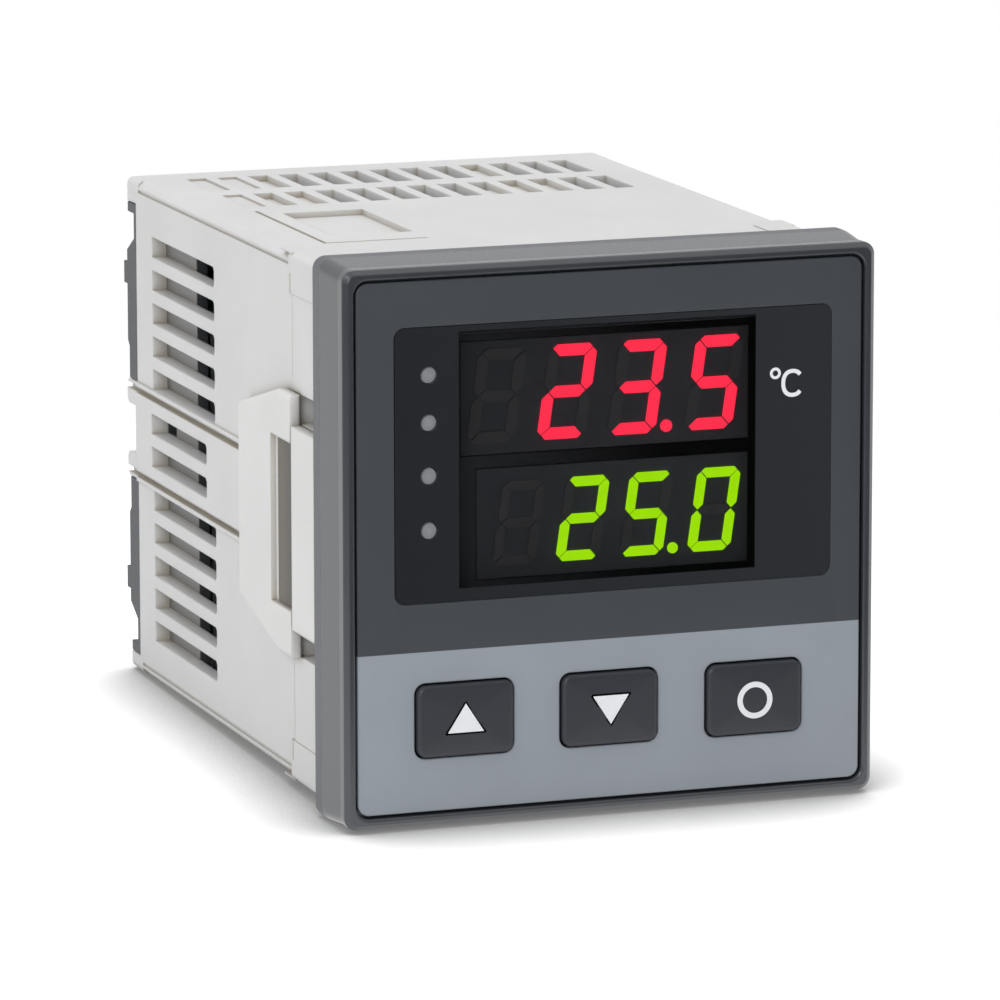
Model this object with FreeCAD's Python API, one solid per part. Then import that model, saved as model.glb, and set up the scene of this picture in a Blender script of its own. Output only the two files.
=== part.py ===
import FreeCAD, Part
import math
import os

# Panel-mount process controller, 1/16 DIN format (48 x 48 mm front).
# Working frame: X right, Y from the front rim towards the terminals, Z up, origin at the rim's centre.
# Every export is then lifted so that the row's origin is at the bottom centre of its box.

# Front bezel and face
bezel_border = 1.2
bezel_flare = 0.22
bezel_depth = 5.8
bezel_corner = 1.1
rim_depth = 1.5
rim_round = 0.45
rim_edge = 0.15
skirt_inset = 0.1
front_web = 1.2
bezel_wall = 2.1
rim_width = 1.18
plate_corner = 1.0
plate_gap = 0.25
plate_recess = 0.25
plate_thickness = 0.8
plate_edge = 0.12
gasket_thickness = 1.7
gasket_fit = 0.1

# Smoked window and the displays behind it
window_width = 39.1
window_above = 1.8
window_below = 1.3
window_corner = 0.9
window_x = 0.3
window_fit = 0.03
display_right = 13.05
display_depth = 2.3
display_gap = 1.25
display_fit = 0.1
pv_set = 5.75
digit_count = 4
digit_gap = 0.8
pv_digit_width = 5.5
pv_digit_height = 8.05
pv_stroke = 1.0
pv_side = 0.43
pv_end = 0.32
pv_above = 0.65
pv_below = 0.93
pv_point_room = 0.65
sv_digit_width = 4.93
sv_digit_height = 7.17
sv_stroke = 0.84
sv_side = 1.28
sv_end = 0.58
sv_above = 1.15
sv_below = 1.08
sv_point_room = 0.42
frame_wall = 1.35
frame_depth = 2.8
aperture_margin = 0.9
aperture_corner = 0.8
segment_height = 0.12
dot_sides = 16
point_ratio = 0.066
point_gap = 0.49
point_place = 2
digit_slant = 8.2
lamp_radius = 0.72
lamp_set = 3.15
lamp_drops = (2.4, 6.45, 11.0, 15.65)
lamp_fit = 0.1
lamp_sides = 24

# Keys
key_width = 8.9
key_height = 7.0
key_corner = 0.8
key_round = 0.3
key_side = 1.15
key_rise = 7.6
key_proud = 0.35
key_gap = 0.2
key_flange = 0.7
key_flange_thickness = 0.8
key_travel = 0.4
key_play = 0.1
switch_size = 6.0
switch_height = 3.5
switch_clearance = 0.2
plunger_radius = 1.7
plunger_sides = 12
plunger_engagement = 1.2
plunger_fit = 0.08

# Housing
body_size = 45.6
body_corner = 0.6
body_depth = 60.2
housing_wall = 1.4
flange_rise = 0.12
flange_depth = 10.6
flange_depth_top = 13.7
corner_rise = 0.2
corner_depth = 11.4
corner_width = 3.6
spigot_wall = 1.2
spigot_length = 7.0
spigot_fit = 0.1
lug_width = 6.0
lug_height = 0.35
lug_length = 1.5
lug_setback = 3.5
side_setback = 3.2
rear_wall = 1.4
works_drop = 0.3
rear_lip = 0.15
rib_inner = 2.25
rib_width = 2.25
rib_round = 0.7
edge_chamfer = 0.55
edge_chamfer_end = 4.0
edge_groove = 0.25

# Side vents and what lies behind them
slot_height = 1.85
slot_pitch = 3.03
slot_corner = 0.3
slot_rows = 5
side_vent_rear = 8.1
side_vent_length = 18.8
middle_vent_length = 16.8
vent_rail = 2.2
web_gap = 9.1
web_thickness = 1.05
deep_web_set = 1.2
deep_web_thickness = 0.8
web_window = 2.6

# Top and bottom vents
top_slot_width = 1.8
top_slot_length = 7.65
top_slot_pitch = 2.9
top_slot_count = 13
top_row_pitch = 10.65
top_vent_rear = 4.3
pocket_depth = 0.55
faint_pocket_depth = 0.2
pinhole_length = 1.9

# Label recess on the roof, left bare
label_left = 16.5
label_width = 7.4
label_front = 19.3
label_length = 13.8
label_depth = 0.5
label_border = 2.0
label_groove = 0.35
label_groove_depth = 0.2

# Clip rail and mounting clips
rail_width = 9.2
rail_rise = 0.2
rail_slot_width = 0.6
rail_slot_depth = 0.7
rail_slot_z = 3.9
clip_gap = 0.1
clip_thickness = 0.9
clip_rear = 28.8
clip_rear_half = 8.5
clip_shoulder = 17.8
clip_half = 11.4
clip_ear_front = 14.0
clip_ear = 4.1
clip_mouth = 19.4
clip_pad_half = 8.8
clip_pad_length = 6.1
clip_web_thickness = 0.45
clip_foot_width = 0.4
clip_foot_length = 8.0
clip_round = 0.4
clip_standoff = 0.1
window_in_side_length = 7.4
window_in_side_start = 0.8

# Terminal blocks
terminal_count = 6
terminal_end = 2.4
pocket_width = 5.5
block_fit = 0.1
block_inner_depth = 5.0
block_body_rise = 2.4
block_land_rise = 2.9
block_strip_rise = 0.7
block_lip_rise = 2.55
block_lip = 0.9
block_slope = 1.3
block_strip = 2.3
block_step = 2.9
pocket_floor = 1.0
pocket_margin = 1.4
block_tab_rise = 1.0
block_tab_width = 1.3
block_tab_height = 2.0
block_tab_z = 8.6
screw_z = 7.2
clamp_size = 5.0
clamp_thickness = 0.8
contact_width = 1.2
contact_drop = 1.9
contact_length = 7.5
screw_head_radius = 2.4
screw_head_height = 1.7
screw_radius = 1.5
head_sides = 16
shank_sides = 8
screw_length = 4.0
screw_slot_width = 0.7
screw_slot_depth = 0.8
screw_fit = 0.05

# Boards and their main components
board_thickness = 1.6
board_fit = 0.2
side_board_x = 12.5
guide_thickness = 1.0
guide_fit = 0.1
guide_grip = 0.8
core_length = 16.0
core_height = 16.0
core_width = 6.0
core_limb = 3.5
core_y = 32.0
core_z = 4.0
coil_fit = 0.2
coil_overhang = 3.0
capacitor_radius = 5.0
capacitor_length = 12.0
capacitor_set = 10.9
capacitor_z = -9.0
relay_length = 18.4
relay_width = 10.2
relay_height = 11.0
relay_y = 30.0
relay_z = 7.0
relay_pitch = 15.0
chip_size = 9.0
chip_thickness = 1.4
chip_set = 8.9

# Derived planes and half sizes
bezel_size = body_size + 2 * bezel_border
bezel_half = bezel_size / 2
rim_size = bezel_size - 2 * bezel_flare
plate_size = rim_size - 2 * rim_width
plate_half = plate_size / 2
body_half = body_size / 2
inner_half = body_half - housing_wall
spigot_half = inner_half - spigot_fit
spigot_inner = spigot_half - spigot_wall
flange_half = body_half + flange_rise
corner_half = body_half + corner_rise
plate_back = plate_recess + plate_thickness
web_back = plate_back + front_web
face_back = web_back + key_play
flange_back = face_back + key_flange_thickness
switch_front = flange_back + key_travel + switch_clearance
board_front = switch_front + switch_height
board_back = board_front + board_thickness
seat_y = bezel_depth + gasket_thickness
body_rear = bezel_depth + body_depth
side_rear = body_rear - side_setback
pv_pitch = pv_digit_width + digit_gap
pv_width = digit_count * pv_pitch - digit_gap + pv_point_room + pv_side + pv_end
pv_height = pv_above + pv_digit_height + pv_below
pv_top = plate_half - pv_set
pv_bottom = pv_top - pv_height
sv_pitch = sv_digit_width + digit_gap
sv_width = digit_count * sv_pitch - digit_gap + sv_point_room + sv_side + sv_end
sv_height = sv_above + sv_digit_height + sv_below
sv_top = pv_bottom - display_gap
sv_bottom = sv_top - sv_height
window_top = pv_top + window_above
window_bottom = sv_bottom - window_below
window_height = window_top - window_bottom
window_z = (window_top + window_bottom) / 2
lamp_x = display_right - pv_width - lamp_set
lamp_heights = [pv_top - drop for drop in lamp_drops]
board_half = spigot_inner - board_fit
key_pitch = spigot_inner - key_side - key_flange - key_width / 2
key_z = key_rise - plate_half
rib_outer = rib_inner + rib_width
lip_inner = inner_half - rear_lip - works_drop
block_high = lip_inner - block_fit
block_low = rib_outer + block_fit
block_inner_half = inner_half - web_thickness - block_fit
board_rear = side_rear - block_inner_depth
capacitor_y = board_rear - capacitor_set
chip_y = board_rear - chip_set
terminal_pitch = 2 * (block_inner_half - terminal_end) / (terminal_count - 1)
block_land = side_rear + block_land_rise
tab_rear = block_land + block_tab_rise
overall_depth = tab_rear + key_proud


def V(x, y, z):
    return FreeCAD.Vector(x, y, z)


def box(x_span, y_span, z_span):
    """A box between pairs of planes; each span may be given in either order."""
    low = [min(span) for span in (x_span, y_span, z_span)]
    high = [max(span) for span in (x_span, y_span, z_span)]
    return Part.makeBox(high[0] - low[0], high[1] - low[1], high[2] - low[2], V(*low))


def tablet_outline(width, height, radius, y, x=0.0, z=0.0):
    """A rectangle with round corners in the XZ plane at one height along Y."""
    half_x = width / 2
    half_z = height / 2
    lean = radius * (1 - math.sqrt(0.5))
    corners = ((1, 1), (-1, 1), (-1, -1), (1, -1))
    edges = []
    ends = []
    for index, (sign_x, sign_z) in enumerate(corners):
        side = V(x + sign_x * half_x, y, z + sign_z * (half_z - radius))
        flat = V(x + sign_x * (half_x - radius), y, z + sign_z * half_z)
        middle = V(x + sign_x * (half_x - lean), y, z + sign_z * (half_z - lean))
        first, last = (side, flat) if index % 2 == 0 else (flat, side)
        edges.append(Part.Arc(first, middle, last).toShape())
        ends.append((first, last))
    for index in range(4):
        edges.append(Part.LineSegment(ends[index][1], ends[(index + 1) % 4][0]).toShape())
    return Part.Wire(Part.__sortEdges__(edges))


def tablet(width, height, radius, y_span, x=0.0, z=0.0):
    """A block with a round-cornered outline, drawn out between two Y planes."""
    wire = tablet_outline(width, height, radius, y_span[0], x, z)
    return Part.Face(wire).extrude(V(0, y_span[1] - y_span[0], 0))


def flared(front_size, rear_size, radius, y_span):
    """A square block with round corners that grows evenly between two Y planes."""
    front = tablet_outline(front_size, front_size, radius, y_span[0])
    rear = tablet_outline(rear_size, rear_size, radius, y_span[1])
    return Part.makeLoft([front, rear], True, True)


def profile_yz(points, x_span):
    """A polygon in the YZ plane drawn out between two X planes."""
    corners = [V(x_span[0], y, z) for y, z in points]
    wire = Part.makePolygon(corners + corners[:1])
    return Part.Face(wire).extrude(V(x_span[1] - x_span[0], 0, 0))


def prism(sides, radius, y_span, x, z):
    """A rod with flat sides along Y, for small pieces that repeat."""
    turns = [math.pi * (2 * index + 1) / sides for index in range(sides)]
    corners = [V(x + radius * math.cos(turn), y_span[0], z + radius * math.sin(turn)) for turn in turns]
    wire = Part.makePolygon(corners + corners[:1])
    return Part.Face(wire).extrude(V(0, y_span[1] - y_span[0], 0))


def mirror_x(shape):
    return shape.mirror(V(0, 0, 0), V(1, 0, 0))


def flip_z(shape):
    """The same piece turned over about the housing's middle line."""
    return shape.mirror(V(0, 0, -works_drop), V(0, 0, 1))


def edges_where(shape, keep):
    return [edge for edge in shape.Edges if all(keep(vertex.Point) for vertex in edge.Vertexes)]


def near(value, target):
    return abs(value - target) < 1e-4


def joined(shapes):
    first = shapes[0]
    return first.fuse(shapes[1:]).removeSplitter()


def save(name, shape):
    """Write one sub-part, moved from the working frame to the row's own frame."""
    placed = shape.copy()
    placed.translate(V(0, -(overall_depth / 2 - key_proud), bezel_half))
    placed.exportStep(os.path.join("parts", name + ".step"))


# Front


def key_centres():
    return (-key_pitch, 0.0, key_pitch)


def key_openings(y_span):
    width = key_width + 2 * key_gap
    height = key_height + 2 * key_gap
    return [tablet(width, height, key_corner + key_gap, y_span, x, key_z) for x in key_centres()]


def aperture(y_span):
    """The opening that shows both displays, with a dark margin round them."""
    width = pv_width + 2 * aperture_margin
    height = pv_top - sv_bottom + 2 * aperture_margin
    x = display_right - pv_width / 2
    return tablet(width, height, aperture_corner, y_span, x, (pv_top + sv_bottom) / 2)


def make_bezel():
    front = tablet(rim_size, rim_size, bezel_corner, (0, rim_depth))
    front = front.makeChamfer(rim_round, edges_where(front, lambda p: near(p.y, 0)))
    skirt = flared(rim_size - 2 * skirt_inset, bezel_size, bezel_corner, (rim_depth, bezel_depth))
    spigot_y = (bezel_depth, bezel_depth + spigot_length)
    spigot = box((-spigot_half, spigot_half), spigot_y, (-spigot_half, spigot_half))
    lug_y = bezel_depth + lug_setback
    lug = profile_yz(
        (
            (lug_y, spigot_half - spigot_wall / 2),
            (lug_y, spigot_half + lug_height),
            (lug_y + lug_length, spigot_half),
            (lug_y + lug_length, spigot_half - spigot_wall / 2),
        ),
        (-lug_width / 2, lug_width / 2),
    )
    lower_lug = lug.mirror(V(0, 0, 0), V(0, 0, 1))
    solid = joined([front, skirt, spigot, lug, lower_lug])
    pocket_size = plate_size + 2 * plate_gap
    hollow = rim_size / 2 - skirt_inset - bezel_wall
    cuts = [
        tablet(pocket_size, pocket_size, plate_corner + plate_gap, (-1, plate_back)),
        box((-hollow, hollow), (web_back, bezel_depth - front_web), (-hollow, hollow)),
        box((-spigot_inner, spigot_inner), (web_back, body_rear), (-spigot_inner, spigot_inner)),
        aperture((0, web_back + 1)),
    ]
    half_x = key_width / 2 + key_gap
    half_z = key_height / 2 + key_gap
    for x in key_centres():
        cuts.append(box((x - half_x, x + half_x), (0, web_back + 1), (key_z - half_z, key_z + half_z)))
    for z in lamp_heights:
        cuts.append(prism(lamp_sides, lamp_radius + 2 * lamp_fit, (0, web_back + 1), lamp_x, z))
    bezel = solid.cut(cuts)
    middle = (rim_size - rim_width) / 2
    rim = edges_where(bezel, lambda p: near(p.y, 0) and max(abs(p.x), abs(p.z)) < middle)
    return bezel.makeChamfer(rim_edge, rim)


def make_face_plate():
    plate = tablet(plate_size, plate_size, plate_corner, (plate_recess, plate_back))
    plate = plate.makeChamfer(plate_edge, edges_where(plate, lambda p: near(p.y, plate_recess)))
    hole_width = window_width + 2 * window_fit
    hole_height = window_height + 2 * window_fit
    cuts = [tablet(hole_width, hole_height, window_corner, (0, web_back), window_x, window_z)]
    return plate.cut(cuts + key_openings((0, web_back)))


def make_window():
    return tablet(window_width, window_height, window_corner, (plate_recess, plate_back), window_x, window_z)


def make_gasket():
    y_span = (bezel_depth, seat_y)
    inner = corner_half + gasket_fit
    ring = tablet(bezel_size, bezel_size, bezel_corner, y_span)
    return ring.cut(box((-inner, inner), y_span, (-inner, inner)))


def display_block(width, top, height, grow):
    """The space of one display module, grown all round by a clearance."""
    x_span = (display_right - width - grow, display_right + grow)
    return x_span, (top - height - grow, top + grow)


def make_display(width, top, height):
    x_span, z_span = display_block(width, top, height, 0)
    return box(x_span, (display_depth, board_front), z_span)


def make_display_frame():
    left = display_right - pv_width - frame_wall
    frame = box(
        (left, display_right + frame_wall),
        (web_back, web_back + frame_depth),
        (sv_bottom - frame_wall, pv_top + frame_wall),
    )
    cuts = []
    for width, top, height in ((pv_width, pv_top, pv_height), (sv_width, sv_top, sv_height)):
        x_span, z_span = display_block(width, top, height, display_fit)
        cuts.append(box(x_span, (0, body_rear), z_span))
    return frame.cut(cuts)


def segment_outlines(width, height, stroke):
    """The seven mitred bars of one digit as outlines about its centre, in the order a to g."""
    half_w = width / 2
    half_h = height / 2
    half_stroke = stroke / 2
    gap = stroke * 0.08
    cut = stroke * 0.75
    shorter = (cut + gap) / 2
    longer = (cut - gap) / 2

    def level(sign):
        right = ((half_w - cut, half_h), (half_w - shorter, half_h - longer),
                 (half_w - stroke - gap, half_h - stroke))
        return [(x, sign * z) for x, z in right] + [(-x, sign * z) for x, z in reversed(right)]

    def upright(side, sign):
        points = ((half_w, half_h - cut), (half_w - longer, half_h - shorter),
                  (half_w - stroke, half_h - stroke - gap), (half_w - stroke, half_stroke + gap),
                  (half_w - half_stroke, gap), (half_w, half_stroke + gap))
        return [(side * x, sign * z) for x, z in points]

    reach = half_w - half_stroke - gap
    middle = [(reach, 0), (reach - half_stroke, half_stroke), (half_stroke - reach, half_stroke),
              (-reach, 0), (half_stroke - reach, -half_stroke), (reach - half_stroke, -half_stroke)]
    return (level(1), upright(1, 1), upright(1, -1), level(-1), upright(-1, -1), upright(-1, 1), middle)


def digit_bars(centre_x, centre_z, width, height, stroke, letters):
    """Thin raised bars for the named segments of one slanted digit."""
    lean = math.tan(math.radians(digit_slant))
    body_width = width - lean * height
    bars = []
    for letter, outline in zip("abcdefg", segment_outlines(body_width, height, stroke)):
        if letter not in letters:
            continue
        corners = [V(centre_x + x + z * lean, display_depth, centre_z + z) for x, z in outline]
        wire = Part.makePolygon(corners + corners[:1])
        bars.append(Part.Face(wire).extrude(V(0, -segment_height, 0)))
    return bars


# Which bars glow for each figure shown
figures = {"": "", "0": "abcdef", "2": "abged", "3": "abgcd", "5": "afgcd"}
pv_figures = ("", "2", "3", "5")
sv_figures = ("", "2", "5", "0")
pv_digit = {"width": pv_digit_width, "height": pv_digit_height, "stroke": pv_stroke}
sv_digit = {"width": sv_digit_width, "height": sv_digit_height, "stroke": sv_stroke}


def make_figures(shown, digit, end, point_room, centre_z):
    """Glowing and dark bars of one row, with extra room for the point after its third digit."""
    width, height, stroke = digit["width"], digit["height"], digit["stroke"]
    lean = math.tan(math.radians(digit_slant))
    glowing = []
    dark = []
    x = display_right - end - width / 2
    for place in reversed(range(digit_count)):
        if place == point_place:
            x -= point_room
            radius = point_ratio * height
            dot_x = x + width / 2 - lean * height + point_gap + radius
            dot_y = (display_depth - segment_height, display_depth)
            glowing.append(prism(dot_sides, radius, dot_y, dot_x, centre_z - height / 2 + radius))
        on = figures[shown[place]]
        off = "".join(letter for letter in "abcdefg" if letter not in on)
        glowing += digit_bars(x, centre_z, width, height, stroke, on)
        dark += digit_bars(x, centre_z, width, height, stroke, off)
        x -= width + digit_gap
    return Part.makeCompound(glowing), Part.makeCompound(dark)


def make_lamps():
    span = (plate_back + lamp_fit, board_front)
    return Part.makeCompound([prism(lamp_sides, lamp_radius, span, lamp_x, z) for z in lamp_heights])


def make_key(x):
    """A key cap with its eased crown and the flange that keeps it behind the bezel."""
    cap = tablet(key_width, key_height, key_corner, (-key_proud, face_back), x, key_z)
    cap = cap.makeChamfer(key_round, edges_where(cap, lambda p: near(p.y, -key_proud)))
    half_x = key_width / 2 + key_flange
    half_z = key_height / 2 + key_flange
    flange = box((x - half_x, x + half_x), (face_back, flange_back), (key_z - half_z, key_z + half_z))
    return joined([cap, flange])


def make_plunger(x):
    return prism(plunger_sides, plunger_radius, (flange_back, switch_front + plunger_engagement), x, key_z)


def make_switch(x):
    half = switch_size / 2
    body = box((x - half, x + half), (switch_front, board_front), (key_z - half, key_z + half))
    bore_end = switch_front + plunger_engagement + key_travel + switch_clearance
    bore = prism(plunger_sides, plunger_radius + plunger_fit, (switch_front, bore_end), x, key_z)
    return body.cut(bore)


# Housing


def side_rows():
    """Heights of the slot rows on a side wall: five above the clip rail, two in it and five below."""
    middle = [-works_drop - slot_pitch / 2, -works_drop + slot_pitch / 2]
    first = slot_pitch / 2 + slot_height + vent_rail
    upper = [-works_drop + first + row * slot_pitch for row in range(slot_rows)]
    lower = [-works_drop - first - row * slot_pitch for row in range(slot_rows)]
    return upper, middle, lower


def side_slots():
    """Cutters for one side wall, through the wall and the rail only."""
    upper, middle, lower = side_rows()
    rear = body_rear - side_vent_rear
    x_span = (-body_half - rail_rise - 1, -inner_half)
    cutters = []
    for rows, length in ((upper + lower, side_vent_length), (middle, middle_vent_length)):
        for z in rows:
            cutter = box(x_span, (rear - length, rear), (z - slot_height / 2, z + slot_height / 2))
            long_edges = edges_where(cutter, lambda p: near(p.y, rear - length))
            across = [edge for edge in long_edges if near(edge.Vertexes[0].Z, edge.Vertexes[1].Z)]
            cutters.append(cutter.makeChamfer(slot_corner, across))
    return cutters


def side_webs():
    """Inner webs behind one row of side vents: one close to the wall, one deeper further forward."""
    upper, middle, lower = side_rows()
    rear = body_rear - side_vent_rear
    half = inner_half
    close_front = rear - web_gap
    close = box((-half, -half + web_thickness), (close_front, rear + housing_wall), (-half, half))
    hole_z = middle[1]
    window = box(
        (-half, -half + web_thickness),
        (rear - web_window, rear),
        (hole_z - slot_height / 2, hole_z + slot_height / 2),
    )
    deep_x = -half + deep_web_set
    deep_top = upper[2] + slot_pitch / 2
    deep = box(
        (deep_x, deep_x + deep_web_thickness),
        (rear - side_vent_length - housing_wall, close_front),
        (-half, deep_top),
    )
    deep_hole = box(
        (deep_x, deep_x + deep_web_thickness),
        (rear - side_vent_length - housing_wall, close_front - web_window),
        (lower[3] - slot_height / 2, lower[3] + slot_height / 2),
    )
    return [close.cut(window), deep.cut(deep_hole)]


def roof_slot(column, row, z_span):
    x = (column - (top_slot_count - 1) / 2) * top_slot_pitch
    rear = body_rear - top_vent_rear - row * top_row_pitch
    half = top_slot_width / 2
    return box((x - half, x + half), (rear - top_slot_length, rear), z_span)


# Roof slots that the moulding leaves closed, as (column, row) with row 0 at the rear
faint_roof_slots = ((0, 0), (1, 0), (0, 1))
closed_roof_slots = ((2, 0), (9, 0), (1, 1), (2, 1), (9, 1), (10, 1))
pinhole_roof_slots = ((8, 1),)


def roof_vents():
    """Cutters for the roof: open slots, blind pockets and pockets with a small hole at each end."""
    through = (inner_half - 0.2, body_half + 1)
    pocket = (body_half - pocket_depth, body_half + 1)
    faint = (body_half - faint_pocket_depth, body_half + 1)
    cutters = []
    for row in range(2):
        for column in range(top_slot_count):
            place = (column, row)
            if place in faint_roof_slots:
                cutters.append(roof_slot(column, row, faint))
            elif place in closed_roof_slots:
                cutters.append(roof_slot(column, row, pocket))
            elif place in pinhole_roof_slots:
                cutters.append(roof_slot(column, row, pocket))
                hole = roof_slot(column, row, through)
                keep = hole.BoundBox
                middle = box(
                    (keep.XMin, keep.XMax),
                    (keep.YMin + pinhole_length, keep.YMax - pinhole_length),
                    through,
                )
                cutters.append(hole.cut(middle))
            else:
                cutters.append(roof_slot(column, row, through))
    return cutters


def floor_vents():
    span = (-body_half - 1, -inner_half + 0.2)
    return [roof_slot(column, 0, span) for column in range(top_slot_count)]


def label_recess():
    """A bare recess for a rating label on the roof, with a fine groove round two of its sides."""
    front = bezel_depth + label_front
    rear = front + label_length
    right = -label_left + label_width
    recess = box((-label_left, right), (front, rear), (body_half - label_depth, body_half + 1))
    depth = (body_half - label_groove_depth, body_half + 1)
    left_edge = -label_left - label_border
    front_edge = front - 2 * label_border
    side_groove = box((left_edge, left_edge + label_groove), (front_edge, rear + label_border), depth)
    front_groove = box((left_edge, right), (front_edge, front_edge + label_groove), depth)
    return [recess, side_groove, front_groove]


def clip_rail():
    """The raised rail on one side wall that guides a mounting clip."""
    half = rail_width / 2
    start = bezel_depth + flange_depth
    return box(
        (-body_half - rail_rise, -body_half),
        (start, side_rear),
        (-works_drop - half, -works_drop + half),
    )


def rail_slots():
    start = bezel_depth + flange_depth
    floor = -body_half - rail_rise + rail_slot_depth
    cutters = []
    for sign in (-1, 1):
        z = -works_drop + sign * rail_slot_z
        z_span = (z - rail_slot_width / 2, z + rail_slot_width / 2)
        cutters.append(box((-body_half - 1, floor), (start, body_rear), z_span))
    return cutters


def clip_window():
    """The gap in the flange where a clip's pad stands, with an opening above and below the pad."""
    start = bezel_depth + gasket_thickness
    gap = box(
        (-body_half - 1, -body_half),
        (start, bezel_depth + flange_depth),
        (-works_drop - clip_half, -works_drop + clip_half),
    )
    cutters = [gap]
    y_span = (start + window_in_side_start, start + window_in_side_length)
    for sign in (-1, 1):
        z_span = (-works_drop + sign * clip_pad_half, -works_drop + sign * clip_half)
        cutters.append(box((-body_half - 1, -inner_half), y_span, z_span))
    return cutters


def edge_relief():
    """Chamfer and fine groove along one long corner, stopped short of the rear."""
    start = bezel_depth + corner_depth
    end = body_rear - edge_chamfer_end
    size = edge_chamfer
    corner = V(-body_half, start, body_half)
    points = [corner, corner + V(size, 0, 0), corner - V(0, 0, size), corner]
    prism = Part.Face(Part.makePolygon(points)).extrude(V(0, end - start, 0))
    groove_z = body_half - size - edge_groove
    groove_x = (-body_half - 1, -body_half + edge_groove / 2)
    groove = box(groove_x, (start, end), (groove_z - edge_groove, groove_z))
    return [prism, groove]


def four_corners(shapes):
    """Copies of the pieces at one long corner for all four."""
    over = [shape.mirror(V(0, 0, 0), V(0, 0, 1)) for shape in shapes]
    left = shapes + over
    return left + [mirror_x(shape) for shape in left]


def board_guides():
    """Pairs of ribs on the roof and floor that hold the two side boards."""
    front = bezel_depth + spigot_length + guide_thickness
    ribs = []
    for sign_z in (-1, 1):
        z_span = (sign_z * (board_half - guide_grip), sign_z * inner_half)
        for sign_x in (-1, 1):
            reach = board_thickness / 2 + guide_fit
            for side in (-1, 1):
                near_x = sign_x * side_board_x + side * reach
                ribs.append(box((near_x, near_x + side * guide_thickness), (front, board_rear), z_span))
    return ribs


def housing_shell():
    y_span = (bezel_depth, body_rear)
    outer = tablet(body_size, body_size, body_corner, y_span)
    flange_rear = bezel_depth + flange_depth
    band = tablet(2 * flange_half, 2 * flange_half, body_corner, (bezel_depth, flange_rear))
    cap_rear = bezel_depth + flange_depth_top
    cap = box((-flange_half, flange_half), (flange_rear, cap_rear), (body_half, flange_half))
    sill = cap.mirror(V(0, 0, 0), V(0, 0, 1))
    tall = tablet(2 * corner_half, 2 * corner_half, body_corner, (bezel_depth, bezel_depth + corner_depth))
    middle = corner_half - corner_width
    tall = tall.cut(
        [
            box((-corner_half, corner_half), (0, body_rear), (-middle, middle)),
            box((-middle, middle), (0, body_rear), (-corner_half, corner_half)),
        ]
    )
    return joined([outer, band, cap, sill, tall])


def rear_frame():
    """What closes the rear: lips at roof and floor, two ribs across and the wall between them."""
    y_front = side_rear - rear_wall
    ribs = []
    for sign in (-1, 1):
        z_span = (-works_drop + sign * lip_inner, sign * inner_half)
        ribs.append(box((-body_half, body_half), (side_rear, body_rear), z_span))
        z_span = (-works_drop + sign * rib_inner, -works_drop + sign * rib_outer)
        ribs.append(box((-body_half, body_half), (y_front, body_rear), z_span))
    wall = box(
        (-body_half, body_half),
        (y_front, side_rear),
        (-works_drop - rib_inner, -works_drop + rib_inner),
    )
    return ribs + [wall]


def side_notches():
    """Rear cut-outs of the side walls, between the ribs."""
    spans = ((-rib_inner, rib_inner), (rib_outer, lip_inner), (-lip_inner, -rib_outer))
    across = (-body_half - 1, body_half + 1)
    rear = (side_rear, body_rear + 1)
    return [box(across, rear, (low - works_drop, high - works_drop)) for low, high in spans]


def make_housing():
    shell = housing_shell()
    cavity = box((-inner_half, inner_half), (bezel_depth, body_rear), (-inner_half, inner_half))
    rails = [clip_rail(), mirror_x(clip_rail())]
    hollow = joined([shell] + rails).cut(cavity)
    webs = side_webs()
    inner = webs + [mirror_x(web) for web in webs] + board_guides() + rear_frame()
    body = joined([hollow] + inner)
    left_cuts = side_slots() + rail_slots() + clip_window()
    cuts = left_cuts + [mirror_x(cutter) for cutter in left_cuts]
    cuts += roof_vents() + floor_vents() + label_recess()
    cuts += four_corners(edge_relief())
    cuts += side_notches()
    lug_y = bezel_depth + lug_setback
    for sign in (-1, 1):
        z_span = (sign * inner_half, sign * (inner_half + lug_height))
        y_span = (lug_y - block_fit, lug_y + lug_length + block_fit)
        cuts.append(box((-lug_width / 2 - block_fit, lug_width / 2 + block_fit), y_span, z_span))
    body = body.cut(cuts).removeSplitter()
    rear_edges = edges_where(body, lambda p: near(p.y, body_rear))
    crossing = [edge for edge in rear_edges if edge.Length > body_size / 2]
    return body.makeFillet(rib_round, crossing)


# Mounting clips


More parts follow.
